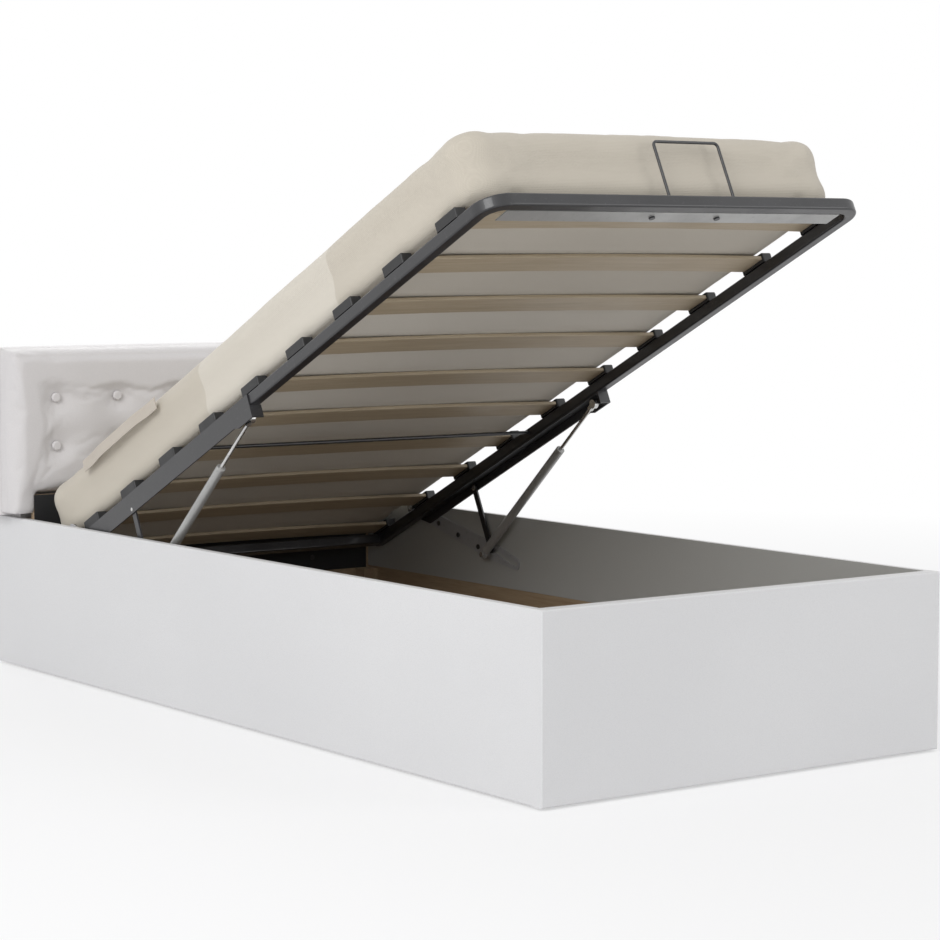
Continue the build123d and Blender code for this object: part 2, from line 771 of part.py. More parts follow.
cap_x = tube_half - cap_depth / 2
pocket_low = slat_end_top - slat_thickness - 0.3
pocket_high = slat_end_top + 0.8
with BuildPart() as slat_caps:
    with BuildSketch(lid_plane.offset(slat_seat)):
        with Locations(*[(s * cap_x, along) for s in (-1, 1) for along in slat_places]):
            RectangleRounded(cap_depth, cap_length, 4)
    extrude(amount=cap_height)
    upper_rims = slat_caps.faces().filter_by(lambda f: f.normal_at().dot(lid_plane.z_dir) > 0.99)
    fillet(upper_rims.edges(), 3)
    with BuildSketch(lid_plane.offset(pocket_low)):
        with Locations(*[(0, along) for along in slat_places]):
            Rectangle(2 * slat_half + 1, slat_width + 0.6)
    extrude(amount=pocket_high - pocket_low, mode=Mode.SUBTRACT)
write(slat_caps, "slat_caps")

# Mattress, crowned on top, its sides drawn in at half height
mattress_half = tube_half - mattress_side_gap
mattress_start = frame_foot + mattress_foot_gap
mattress_end = frame_end - mattress_head_gap
mattress_length = mattress_end - mattress_start
mattress_middle = (mattress_end + mattress_start) / 2
crown_radius = (mattress_half**2 + mattress_crown**2) / (2 * mattress_crown)
waist_height = mattress_bottom + mattress_thickness * 0.43
waist_half = mattress_thickness * 0.22
crown_edge = mattress_bottom + mattress_thickness - mattress_crown
crown_top = mattress_bottom + mattress_thickness
with BuildPart() as mattress:
    with BuildSketch(lid_plane.offset(mattress_bottom)):
        with Locations((0, mattress_middle)):
            RectangleRounded(2 * mattress_half, mattress_length, mattress_corner)
    extrude(amount=mattress_thickness + 1)
    with BuildSketch(slat_plane.offset(-mattress_end - 1)):
        with BuildLine():
            ThreePointArc((-mattress_half - 5, crown_edge), (0, crown_top), (mattress_half + 5, crown_edge))
            Line((mattress_half + 5, crown_edge), (mattress_half + 5, crown_top + 20))
            Line((mattress_half + 5, crown_top + 20), (-mattress_half - 5, crown_top + 20))
            Line((-mattress_half - 5, crown_top + 20), (-mattress_half - 5, crown_edge))
        make_face()
    extrude(amount=mattress_length + 2, mode=Mode.SUBTRACT)
    top_face = mattress.faces().sort_by(SortBy.AREA)[-2:].sort_by(lid_axis)[-1]
    fillet(top_face.edges(), mattress_edge)
    low_face = mattress.faces().sort_by(lid_axis)[0]
    fillet(low_face.edges(), mattress_low_edge)
    with BuildSketch(lid_plane.offset(waist_height), mode=Mode.PRIVATE) as ring:
        with Locations((0, mattress_middle)):
            RectangleRounded(2 * mattress_half, mattress_length, mattress_corner)
    ring_line = ring.sketch.faces()[0].outer_wire()
    ring_start = ring_line @ 0.3
    out = (ring_line % 0.3).cross(lid_plane.z_dir)
    with BuildSketch(Plane(origin=ring_start, x_dir=out, z_dir=ring_line % 0.3)):
        with BuildLine():
            ThreePointArc((0, -waist_half), (-mattress_waist, 0), (0, waist_half))
            Line((0, waist_half), (2, waist_half))
            Line((2, waist_half), (2, -waist_half))
            Line((2, -waist_half), (0, -waist_half))
        make_face()
    sweep(path=ring_line, mode=Mode.SUBTRACT)
write(mattress, "mattress")

# Strap handles sewn on the sides of the mattress
handle_middle = frame_foot + handle_start + handle_length / 2
handle_inner = mattress_half + soft_gap
with BuildPart() as mattress_handles:
    for side in (-1, 1):
        with BuildSketch(lid_side(side * handle_inner)):
            with Locations((handle_middle, mattress_bottom + handle_height)):
                Rectangle(handle_length, handle_width)
        extrude(amount=side * handle_thickness)
    strap_edges = mattress_handles.edges().filter_by(Axis.X)
    fillet(strap_edges, 4)
write(mattress_handles, "mattress_handles")

# Gas springs and stays
strut_along = (0, cos(radians(strut_way)), sin(radians(strut_way)))
rod_start = strut_open - eye_radius - rod_shown
cylinder_start = eye_radius + 6
gland = 6
piston_middle = rod_start - gland - piston_length / 2 - 2
stay_low = stay_foot(0)


def strut_plane(x):
    """Side view plane with X running up the gas spring from its lower stud."""
    return Plane(
        origin=(x, foot_y + strut_foot_from_foot, strut_foot_height),
        x_dir=strut_along,
        z_dir=(1, 0, 0),
    )


def strut_section(x, along):
    """Plane square to the gas spring at a distance from its lower stud."""
    start = strut_plane(x).from_local_coords(Vector(along, 0, 0))
    return Plane(origin=start, x_dir=(1, 0, 0), z_dir=strut_along)


for side, hand in ((-1, "left"), (1, "right")):
    with BuildPart() as stay:
        with BuildSketch(box_side(side * stay_x)):
            with Locations(stay_top, stay_low):
                Circle(stay_width / 2)
            make_hull()
            with Locations(stay_top):
                Circle(stay_pin_radius + running_gap, mode=Mode.SUBTRACT)
            with Locations(stay_low):
                Circle(stay_pin_radius, mode=Mode.SUBTRACT)
        extrude(amount=stay_thickness / 2, both=True)
    write(stay, f"stay_{hand}")

    with BuildPart() as slot_pin:
        with BuildSketch(box_side(side * (stay_x - stay_thickness / 2))):
            with Locations(stay_low):
                Circle(stay_pin_radius)
        extrude(amount=side * (inner_half - stay_x + stay_thickness / 2 - soft_gap))
    write(slot_pin, f"slot_pin_{hand}")

    with BuildPart() as stay_pin:
        with BuildSketch(box_side(side * (rail_x + plate / 2))):
            with Locations(stay_top):
                Circle(stay_pin_radius)
        extrude(amount=-side * (rail_x + plate / 2 - stay_x + stay_thickness / 2 + soft_gap))
        with BuildSketch(box_side(side * (stay_x - stay_thickness / 2 - soft_gap))):
            with Locations(stay_top):
                Circle(stay_pin_radius + 2.5)
        extrude(amount=-side * 1)
    write(stay_pin, f"stay_pin_{hand}")

    with BuildPart() as gas_cylinder:
        with BuildSketch(strut_section(side * strut_x, cylinder_start)):
            Circle(cylinder_radius)
        extrude(amount=rod_start - cylinder_start)
        with BuildSketch(strut_plane(side * strut_x)):
            Circle(eye_radius)
            with Locations((cylinder_start / 2 + 2, 0)):
                Rectangle(cylinder_start + 4, eye_radius)
        extrude(amount=eye_width / 2, both=True)
        fillet(gas_cylinder.edges().filter_by(GeomType.CIRCLE).sort_by(Axis(strut_plane(0).origin, strut_along))[-1], 2)
        with BuildSketch(strut_section(side * strut_x, cylinder_start + 8)):
            Circle(cylinder_radius - cylinder_wall)
        extrude(amount=rod_start - gland - cylinder_start - 8, mode=Mode.SUBTRACT)
        with BuildSketch(strut_section(side * strut_x, rod_start - gland - 1)):
            Circle(rod_radius + running_gap)
        extrude(amount=gland + 2, mode=Mode.SUBTRACT)
        with BuildSketch(strut_plane(side * strut_x)):
            Circle(strut_stud_radius + running_gap)
        extrude(amount=eye_width, both=True, mode=Mode.SUBTRACT)
    write(gas_cylinder, f"gas_cylinder_{hand}")

    with BuildPart() as gas_rod:
        with BuildSketch(strut_section(side * strut_x, piston_middle)):
            Circle(rod_radius)
        extrude(amount=strut_open - piston_middle - eye_radius + 2)
        with BuildSketch(strut_section(side * strut_x, piston_middle - piston_length / 2)):
            Circle(cylinder_radius - cylinder_wall - piston_gap)
        extrude(amount=piston_length)
        with BuildSketch(strut_plane(side * strut_x)):
            with Locations((strut_open, 0)):
                Circle(eye_radius)
            with Locations((strut_open - eye_radius - 3, 0)):
                Rectangle(12, eye_radius)
        extrude(amount=eye_width / 2, both=True)
        with BuildSketch(strut_plane(side * strut_x)):
            with Locations((strut_open, 0)):
                Circle(strut_stud_radius)
        extrude(amount=side * (tube_half - soft_gap - strut_x))
    write(gas_rod, f"gas_rod_{hand}")
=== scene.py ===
import json
import math

import bpy
from mathutils import Matrix, Vector, noise


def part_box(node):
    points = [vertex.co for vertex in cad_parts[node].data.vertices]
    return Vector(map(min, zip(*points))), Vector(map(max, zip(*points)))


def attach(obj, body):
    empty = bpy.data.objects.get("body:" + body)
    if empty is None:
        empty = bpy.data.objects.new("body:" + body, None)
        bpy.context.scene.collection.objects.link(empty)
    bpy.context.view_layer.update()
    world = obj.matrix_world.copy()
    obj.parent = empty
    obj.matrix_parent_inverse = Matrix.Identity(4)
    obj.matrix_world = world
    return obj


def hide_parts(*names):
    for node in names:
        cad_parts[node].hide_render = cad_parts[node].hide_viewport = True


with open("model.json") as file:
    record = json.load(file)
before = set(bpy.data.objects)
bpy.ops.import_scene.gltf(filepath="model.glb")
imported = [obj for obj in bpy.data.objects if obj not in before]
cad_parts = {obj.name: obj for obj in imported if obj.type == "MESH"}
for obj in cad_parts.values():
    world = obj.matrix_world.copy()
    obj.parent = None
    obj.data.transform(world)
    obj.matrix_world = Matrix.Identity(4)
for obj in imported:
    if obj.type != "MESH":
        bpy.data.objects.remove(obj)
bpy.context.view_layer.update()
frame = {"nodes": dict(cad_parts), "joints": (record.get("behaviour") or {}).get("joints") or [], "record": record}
nodes = frame["nodes"]
lidHinge = next(j for j in frame["joints"] if j["name"] == "lid_hinge")
lidTilt = math.radians(lidHinge["range_deg"][1])
lidMatrix = Matrix.Translation(lidHinge["pos_m"]) @ Matrix.Rotation(-lidTilt, 4, "X")
print("frame loaded")

bpy.context.scene.view_settings.view_transform = "Standard"


# Camera, fitted to the edges of the box, the lid and the headboard

cameraSettings = {
    "place": (-3.262, -4.678, 0.959),
    "turn": -35.924,
    "down": 4.598,
    "lens": 102.68,
    "sensor": 36.0,
}


def makeCamera(s):
    data = bpy.data.cameras.new("camera")
    data.lens = s["lens"]
    data.sensor_width = s["sensor"]
    data.clip_end = 60
    camera = bpy.data.objects.new("camera", data)
    camera.location = s["place"]
    camera.rotation_euler = (math.radians(90 - s["down"]), 0, math.radians(s["turn"]))
    bpy.context.scene.collection.objects.link(camera)
    bpy.context.scene.camera = camera


makeCamera(cameraSettings)


# Node helpers

def newGroup(name, inputs, outputs):
    tree = bpy.data.node_groups.new(name, "ShaderNodeTree")
    for label, kind, value in inputs:
        socket = tree.interface.new_socket(label, in_out="INPUT", socket_type=kind)
        socket.default_value = value
    for label in outputs:
        tree.interface.new_socket(label, in_out="OUTPUT", socket_type="NodeSocketFloat")
    return tree, tree.nodes.new("NodeGroupInput"), tree.nodes.new("NodeGroupOutput")


def addNode(tree, kind, links=None, **values):
    node = tree.nodes.new(kind)
    for key, value in values.items():
        setattr(node, key, value)
    for key, source in (links or {}).items():
        if isinstance(source, bpy.types.NodeSocket):
            tree.links.new(source, node.inputs[key])
        else:
            node.inputs[key].default_value = source
    return node


def mathNode(tree, operation, *sources):
    return addNode(tree, "ShaderNodeMath", dict(enumerate(sources)), operation=operation).outputs[0]


def rangeNode(tree, source, fromLow, fromHigh, toLow, toHigh):
    links = {"Value": source, "From Min": fromLow, "From Max": fromHigh, "To Min": toLow, "To Max": toHigh}
    return addNode(tree, "ShaderNodeMapRange", links).outputs[0]


def mixColour(tree, factor, first, second):
    node = tree.nodes.new("ShaderNodeMix")
    node.data_type = "RGBA"
    tree.links.new(factor, node.inputs[0])
    for socket, colour in ((node.inputs[6], first), (node.inputs[7], second)):
        if isinstance(colour, bpy.types.NodeSocket):
            tree.links.new(colour, socket)
        else:
            socket.default_value = (*colour, 1)
    return node.outputs[2]


def placed(tree, group, values):
    node = tree.nodes.new("ShaderNodeGroup")
    node.node_tree = group
    for key, value in values.items():
        node.inputs[key].default_value = value
    return node


floatSocket = "NodeSocketFloat"
vectorSocket = "NodeSocketVector"


# Faux leather: pebbled cells, fine pores between them, and slow tone changes over a panel
def makeLeatherGroup():
    inputs = [("Cell Scale", floatSocket, 700.0), ("Tone Scale", floatSocket, 3.0)]
    tree, gin, gout = newGroup("leatherGrain", inputs, ["Height", "Tone", "Pores"])
    coords = addNode(tree, "ShaderNodeTexCoord").outputs["Object"]
    warp = addNode(tree, "ShaderNodeTexNoise", {"Vector": coords, "Scale": 180.0, "Detail": 2.0})
    bend = addNode(tree, "ShaderNodeVectorMath", {0: warp.outputs["Color"], "Scale": 0.0012}, operation="SCALE")
    moved = addNode(tree, "ShaderNodeVectorMath", {0: coords, 1: bend.outputs[0]}, operation="ADD").outputs[0]
    cells = addNode(tree, "ShaderNodeTexVoronoi", {"Vector": moved, "Scale": gin.outputs[0]},
                    feature="DISTANCE_TO_EDGE")
    pebble = rangeNode(tree, cells.outputs["Distance"], 0.0, 0.22, 0.0, 1.0)
    fine = addNode(tree, "ShaderNodeTexNoise", {"Vector": coords, "Scale": 2200.0, "Detail": 2.0})
    height = mathNode(tree, "ADD", mathNode(tree, "MULTIPLY", pebble, 0.8),
                      mathNode(tree, "MULTIPLY", fine.outputs[0], 0.2))
    slow = addNode(tree, "ShaderNodeTexNoise", {"Vector": coords, "Scale": gin.outputs[1], "Detail": 3.0})
    tree.links.new(height, gout.inputs[0])
    tree.links.new(rangeNode(tree, slow.outputs[0], 0.3, 0.7, 0.0, 1.0), gout.inputs[1])
    tree.links.new(mathNode(tree, "SUBTRACT", 1.0, pebble), gout.inputs[2])
    return tree


# Knitted cloth: rows of loops with some fuzz, turned to lie along a tilted piece
def makeKnitGroup():
    inputs = [("Loop Scale", floatSocket, 420.0), ("Turn", vectorSocket, (0, 0, 0)), ("Fuzz", floatSocket, 0.4)]
    tree, gin, gout = newGroup("knitWeave", inputs, ["Height", "Tone", "Blotch"])
    coords = addNode(tree, "ShaderNodeTexCoord").outputs["Object"]
    turned = addNode(tree, "ShaderNodeVectorRotate", {"Vector": coords, "Rotation": gin.outputs[1]},
                     rotation_type="EULER_XYZ").outputs[0]
    parts = addNode(tree, "ShaderNodeSeparateXYZ", {0: turned})
    waves = []
    for output in (0, 1, 2):
        stretch = mathNode(tree, "MULTIPLY", parts.outputs[output], gin.outputs[0])
        turns = mathNode(tree, "MULTIPLY", stretch, math.tau)
        waves.append(mathNode(tree, "SINE", turns))
    flat = mathNode(tree, "MULTIPLY", waves[0], waves[1])
    rise = mathNode(tree, "MULTIPLY", waves[2], 0.5)
    loops = mathNode(tree, "ADD", flat, rise)
    fuzz = addNode(tree, "ShaderNodeTexNoise", {"Vector": coords, "Scale": 900.0, "Detail": 3.0})
    mixed = mathNode(tree, "ADD", mathNode(tree, "MULTIPLY", loops, 0.3),
                     mathNode(tree, "MULTIPLY", fuzz.outputs[0], gin.outputs[2]))
    blotch = addNode(tree, "ShaderNodeTexNoise", {"Vector": coords, "Scale": 4.5, "Detail": 4.0})
    tree.links.new(mixed, gout.inputs[0])
    tree.links.new(rangeNode(tree, loops, -1.2, 1.2, 0.0, 1.0), gout.inputs[1])
    tree.links.new(rangeNode(tree, blotch.outputs[0], 0.3, 0.7, 0.0, 1.0), gout.inputs[2])
    return tree


# Wood: long fibres along one axis, growth bands, and short pores
def makeWoodGroup():
    inputs = [("Stretch", vectorSocket, (1, 20, 20)), ("Bands", floatSocket, 3.0)]
    tree, gin, gout = newGroup("woodFibre", inputs, ["Tone", "Height"])
    coords = addNode(tree, "ShaderNodeTexCoord").outputs["Object"]
    stretched = addNode(tree, "ShaderNodeVectorMath", {0: coords, 1: gin.outputs[0]}, operation="MULTIPLY")
    longWays = stretched.outputs[0]
    fibre = addNode(tree, "ShaderNodeTexNoise", {"Vector": longWays, "Scale": 14.0, "Detail": 6.0,
                                                 "Roughness": 0.65})
    band = addNode(tree, "ShaderNodeTexNoise", {"Vector": longWays, "Scale": gin.outputs[1], "Detail": 2.0,
                                                "Distortion": 0.6})
    tone = mathNode(tree, "ADD", mathNode(tree, "MULTIPLY", fibre.outputs[0], 0.55),
                    mathNode(tree, "MULTIPLY", band.outputs[0], 0.45))
    tree.links.new(rangeNode(tree, tone, 0.32, 0.68, 0.0, 1.0), gout.inputs[0])
    tree.links.new(fibre.outputs[0], gout.inputs[1])
    return tree


# Handling marks: soft smudges, small specks, and the fine orange peel of sprayed paint
def makeWearGroup():
    inputs = [("Smudge Scale", floatSocket, 6.0), ("Speck Scale", floatSocket, 160.0)]
    tree, gin, gout = newGroup("handlingWear", inputs, ["Smudge", "Speck", "Orange Peel"])
    coords = addNode(tree, "ShaderNodeTexCoord").outputs["Object"]
    smudge = addNode(tree, "ShaderNodeTexNoise", {"Vector": coords, "Scale": gin.outputs[0], "Detail": 5.0,
                                                  "Roughness": 0.6})
    speck = addNode(tree, "ShaderNodeTexNoise", {"Vector": coords, "Scale": gin.outputs[1], "Detail": 1.0})
    peel = addNode(tree, "ShaderNodeTexNoise", {"Vector": coords, "Scale": 900.0, "Detail": 1.0})
    tree.links.new(rangeNode(tree, smudge.outputs[0], 0.35, 0.7, 0.0, 1.0), gout.inputs[0])
    tree.links.new(rangeNode(tree, speck.outputs[0], 0.66, 0.74, 0.0, 1.0), gout.inputs[1])
    tree.links.new(peel.outputs[0], gout.inputs[2])
    return tree


leatherGrain = makeLeatherGroup()
knitWeave = makeKnitGroup()
woodFibre = makeWoodGroup()
handlingWear = makeWearGroup()
print("node groups built")


def newMaterial(name, metallic=0.0, roughness=0.5, coat=0.0, sheen=0.0):
    material = bpy.data.materials.new(name)
    material.use_nodes = True
    tree = material.node_tree
    tree.nodes.clear()
    output = tree.nodes.new("ShaderNodeOutputMaterial")
    skin = tree.nodes.new("ShaderNodeBsdfPrincipled")
    tree.links.new(skin.outputs[0], output.inputs[0])
    skin.inputs["Metallic"].default_value = metallic
    skin.inputs["Roughness"].default_value = roughness
    skin.inputs["Coat Weight"].default_value = coat
    skin.inputs["Sheen Weight"].default_value = sheen
    return material, tree, skin


def addBump(tree, skin, height, distance, strength=1.0):
    links = {"Height": height, "Distance": distance, "Strength": strength}
    bump = addNode(tree, "ShaderNodeBump", links)
    tree.links.new(bump.outputs[0], skin.inputs["Normal"])


# Materials, one per finish

# Painted shade: one inside the box, on the faces of the covers turned down there, and nought outside; there the
# covers take a darker grey that stands in for the shadow inside the box
def insideShadeMask(tree, wallX, footY):
    coords = addNode(tree, "ShaderNodeTexCoord").outputs["Object"]
    parts = addNode(tree, "ShaderNodeSeparateXYZ", {0: coords})
    across = mathNode(tree, "LESS_THAN", mathNode(tree, "ABSOLUTE", parts.outputs[0]), wallX)
    behind = mathNode(tree, "GREATER_THAN", parts.outputs[1], footY)
    return mathNode(tree, "MULTIPLY", across, behind)


def makeLeather(name, s, inside=None):
    material, tree, skin = newMaterial(name)
    grain = placed(tree, leatherGrain, {"Cell Scale": s["cellScale"], "Tone Scale": s["toneScale"]})
    wear = placed(tree, handlingWear, {"Smudge Scale": 4.0})
    panel = mixColour(tree, grain.outputs["Tone"], s["shade"], s["colour"])
    pored = mixColour(tree, mathNode(tree, "MULTIPLY", grain.outputs["Pores"], 0.5), panel, s["pore"])
    # Painted shade: the cover faces turned down into the box are mixed to a darker grey that stands in for the
    # shadow there
    if inside:
        pored = mixColour(tree, insideShadeMask(tree, *inside), pored, s["inner"])
    tree.links.new(pored, skin.inputs["Base Color"])
    rough = mathNode(tree, "ADD", rangeNode(tree, wear.outputs["Smudge"], 0, 1, s["roughLow"], s["roughHigh"]),
                     mathNode(tree, "MULTIPLY", grain.outputs["Pores"], 0.12))
    tree.links.new(rough, skin.inputs["Roughness"])
    skin.inputs["Specular IOR Level"].default_value = 0.35
    addBump(tree, skin, grain.outputs["Height"], s["bump"])
    return material


def makeWood(name, s):
    material, tree, skin = newMaterial(name)
    wood = placed(tree, woodFibre, {"Stretch": s["stretch"], "Bands": s["bands"]})
    wear = placed(tree, handlingWear, {})
    tone = mixColour(tree, wood.outputs["Tone"], s["dark"], s["light"])
    marked = mixColour(tree, mathNode(tree, "MULTIPLY", wear.outputs["Speck"], 0.35), tone, s["dark"])
    tree.links.new(marked, skin.inputs["Base Color"])
    tree.links.new(rangeNode(tree, wear.outputs["Smudge"], 0, 1, s["roughLow"], s["roughHigh"]),
                   skin.inputs["Roughness"])
    addBump(tree, skin, wood.outputs["Height"], s["bump"])
    return material


def makeMetal(name, s):
    material, tree, skin = newMaterial(name, metallic=s["metallic"], coat=s.get("coat", 0.0))
    wear = placed(tree, handlingWear, {"Smudge Scale": s["smudgeScale"]})
    tone = mixColour(tree, wear.outputs["Smudge"], s["colour"], s["worn"])
    specked = mixColour(tree, mathNode(tree, "MULTIPLY", wear.outputs["Speck"], 0.4), tone, s["speck"])
    tree.links.new(specked, skin.inputs["Base Color"])
    tree.links.new(rangeNode(tree, wear.outputs["Smudge"], 0, 1, s["roughLow"], s["roughHigh"]),
                   skin.inputs["Roughness"])
    addBump(tree, skin, wear.outputs["Orange Peel"], s["bump"])
    return material


def makeCloth(name, s):
    material, tree, skin = newMaterial(name, roughness=0.9, sheen=s["sheen"])
    turn = (lidTilt, 0, 0)
    knit = placed(tree, knitWeave, {"Loop Scale": s["loopScale"], "Turn": turn, "Fuzz": s["fuzz"]})
    tone = mixColour(tree, knit.outputs["Tone"], s["dark"], s["light"])
    blotched = mixColour(tree, mathNode(tree, "MULTIPLY", knit.outputs["Blotch"], s["blotch"]), tone, s["stain"])
    tree.links.new(blotched, skin.inputs["Base Color"])
    addBump(tree, skin, knit.outputs["Height"], s["bump"])
    return material, tree, skin, blotched


whiteCoverSettings = {
    "colour": (0.745, 0.745, 0.75), "shade": (0.705, 0.705, 0.712), "pore": (0.60, 0.60, 0.61),
    # inner is a painted shade colour: the darker grey of the cover faces inside the box stands in for the shadow
    # there
    "inner": (0.40, 0.40, 0.385), "wall": 0.0008,
    "cellScale": 620.0, "toneScale": 1.6, "roughLow": 0.42, "roughHigh": 0.54, "bump": 0.00012,
}
padCoverSettings = {
    "colour": (0.715, 0.695, 0.695), "shade": (0.675, 0.655, 0.655), "pore": (0.57, 0.555, 0.56),
    "cellScale": 620.0, "toneScale": 2.2, "roughLow": 0.36, "roughHigh": 0.48, "bump": 0.00012,
}
boardSettings = {
    "dark": (0.30, 0.21, 0.13), "light": (0.46, 0.35, 0.23), "stretch": (18, 1, 18), "bands": 2.5,
    "roughLow": 0.62, "roughHigh": 0.78, "bump": 0.0002,
}
floorSheetSettings = {
    "dark": (0.12, 0.08, 0.052), "light": (0.18, 0.125, 0.08), "stretch": (16, 1, 16), "bands": 2.0,
    "roughLow": 0.55, "roughHigh": 0.7, "bump": 0.0001,
}
slatSettings = {
    "dark": (0.37, 0.295, 0.20), "light": (0.48, 0.40, 0.285), "stretch": (1, 22, 22), "bands": 4.0,
    "roughLow": 0.42, "roughHigh": 0.58, "bump": 0.00012,
}
blackSteelSettings = {
    "colour": (0.016, 0.016, 0.018), "worn": (0.028, 0.028, 0.031), "speck": (0.06, 0.06, 0.062),
    "metallic": 0.0, "coat": 0.3, "smudgeScale": 9.0, "roughLow": 0.34, "roughHigh": 0.5, "bump": 0.00004,
}
greySteelSettings = {
    "colour": (0.42, 0.42, 0.41), "worn": (0.36, 0.36, 0.355), "speck": (0.25, 0.25, 0.24),
    "metallic": 0.35, "smudgeScale": 12.0, "roughLow": 0.3, "roughHigh": 0.44, "bump": 0.00003,
}
brightSteelSettings = {
    "colour": (0.66, 0.66, 0.65), "worn": (0.56, 0.56, 0.55), "speck": (0.4, 0.39, 0.37),
    "metallic": 0.9, "smudgeScale": 20.0, "roughLow": 0.2, "roughHigh": 0.34, "bump": 0.00002,
}
bracketSettings = {
    "colour": (0.40, 0.40, 0.41), "worn": (0.34, 0.34, 0.35), "speck": (0.22, 0.22, 0.22),
    "metallic": 0.2, "smudgeScale": 10.0, "roughLow": 0.4, "roughHigh": 0.55, "bump": 0.00004,
}
blackPlasticSettings = {
    "colour": (0.014, 0.014, 0.015), "worn": (0.022, 0.022, 0.023), "speck": (0.04, 0.04, 0.04),
    "metallic": 0.0, "smudgeScale": 30.0, "roughLow": 0.42, "roughHigh": 0.58, "bump": 0.00008,
}
liningSettings = {
    "dark": (0.008, 0.008, 0.009), "light": (0.018, 0.018, 0.019), "stain": (0.03, 0.03, 0.03),
    "loopScale": 500.0, "fuzz": 0.5, "blotch": 0.2, "sheen": 0.1, "bump": 0.0003,
}
mattressClothSettings = {
    "dark": (0.53, 0.485, 0.41), "light": (0.59, 0.545, 0.465), "stain": (0.49, 0.445, 0.375),
    "loopScale": 330.0, "fuzz": 0.35, "blotch": 0.3, "sheen": 0.15, "bump": 0.0005,
    "paleZone": (0.66, 0.62, 0.545), "zoneMix": 0.75, "zoneEdge": 0.002, "zoneFrom": 0.545, "zoneTo": 1.09,
}
strapClothSettings = {
    "dark": (0.50, 0.45, 0.39), "light": (0.60, 0.55, 0.48), "stain": (0.44, 0.39, 0.33),
    "loopScale": 650.0, "fuzz": 0.3, "blotch": 0.25, "sheen": 0.1, "bump": 0.0004,
}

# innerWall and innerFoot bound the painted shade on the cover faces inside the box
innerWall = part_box("side_cover_right")[0].x + whiteCoverSettings["wall"]
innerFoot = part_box("foot_cover")[1].y - whiteCoverSettings["wall"]
materials = {
    "white_cover": makeLeather("whiteCover", whiteCoverSettings, (innerWall, innerFoot)),
    "board": makeWood("rawBoard", boardSettings),
    "floor_sheet": makeWood("floorSheet", floorSheetSettings),
    "slat_wood": makeWood("slatWood", slatSettings),
    "black_steel": makeMetal("blackSteel", blackSteelSettings),
    "grey_steel": makeMetal("greySteel", greySteelSettings),
    "bright_steel": makeMetal("brightSteel", brightSteelSettings),
    "bracket_steel": makeMetal("bracketSteel", bracketSettings),
    "black_plastic": makeMetal("blackPlastic", blackPlasticSettings),
    "black_lining": makeCloth("blackLining", liningSettings)[0],
    "handle_strap": makeCloth("handleStrap", strapClothSettings)[0],
}
padCover = makeLeather("padCover", padCoverSettings)


# The mattress border has a paler middle panel between two seams
def makeMattressCloth(s, footEnd):
    hinge = lidHinge["pos_m"]
    material, tree, skin, cloth = makeCloth("mattressCloth", s)
    coords = addNode(tree, "ShaderNodeTexCoord").outputs["Object"]
    turned = addNode(tree, "ShaderNodeVectorRotate",
                     {"Vector": coords, "Center": tuple(hinge), "Rotation": (lidTilt, 0, 0)},
                     rotation_type="EULER_XYZ").outputs[0]
    along = addNode(tree, "ShaderNodeSeparateXYZ", {0: turned}).outputs[1]
    fromFoot = mathNode(tree, "SUBTRACT", along, hinge[1] + footEnd)
    after = rangeNode(tree, fromFoot, s["zoneFrom"] - s["zoneEdge"], s["zoneFrom"] + s["zoneEdge"], 0.0, 1.0)
    before = rangeNode(tree, fromFoot, s["zoneTo"] - s["zoneEdge"], s["zoneTo"] + s["zoneEdge"], 1.0, 0.0)
    zone = mathNode(tree, "MULTIPLY", mathNode(tree, "MULTIPLY", after, before), s["zoneMix"])
    tree.links.new(mixColour(tree, zone, cloth, s["paleZone"]), skin.inputs["Base Color"])
    return material


# The mattress gets its own cloth with its soft mesh further down
slots = {p["node"]: p["material_slot"] for p in frame["record"]["subparts"]}
for name, node in nodes.items():
    material = materials.get(slots[name], materials["white_cover"])
    if name in ("headboard_buttons", "headboard_board", "headboard_cover"):
        material = padCover
    if not node.material_slots:
        node.data.materials.append(material)
    for place in node.material_slots:
        place.material = material
print("materials placed")


# Soft pieces

def remeshed(name, source, toLocal, shrink, voxel):
    mesh = source.data.copy()
    mesh.transform(toLocal)
    low = Vector([min(v.co[i] for v in mesh.vertices) for i in range(3)])
    high = Vector([max(v.co[i] for v in mesh.vertices) for i in range(3)])
    middle = (low + high) / 2
    scale = [1 - 2 * shrink / (high[i] - low[i]) for i in range(3)]
    for v in mesh.vertices:
        v.co = Vector([middle[i] + (v.co[i] - middle[i]) * scale[i] for i in range(3)])
    rough = bpy.data.objects.new(name + "Rough", mesh)
    bpy.context.scene.collection.objects.link(rough)
    modifier = rough.modifiers.new("voxels", "REMESH")
    modifier.mode = "VOXEL"
    modifier.voxel_size = voxel
    modifier.use_smooth_shade = True
    bpy.context.view_layer.update()
    evaluated = rough.evaluated_get(bpy.context.evaluated_depsgraph_get())
    final = bpy.data.meshes.new_from_object(evaluated)
    bpy.data.objects.remove(rough)
    final.materials.clear()
    piece = bpy.data.objects.new(name, final)
    bpy.context.scene.collection.objects.link(piece)
    return piece, low, high


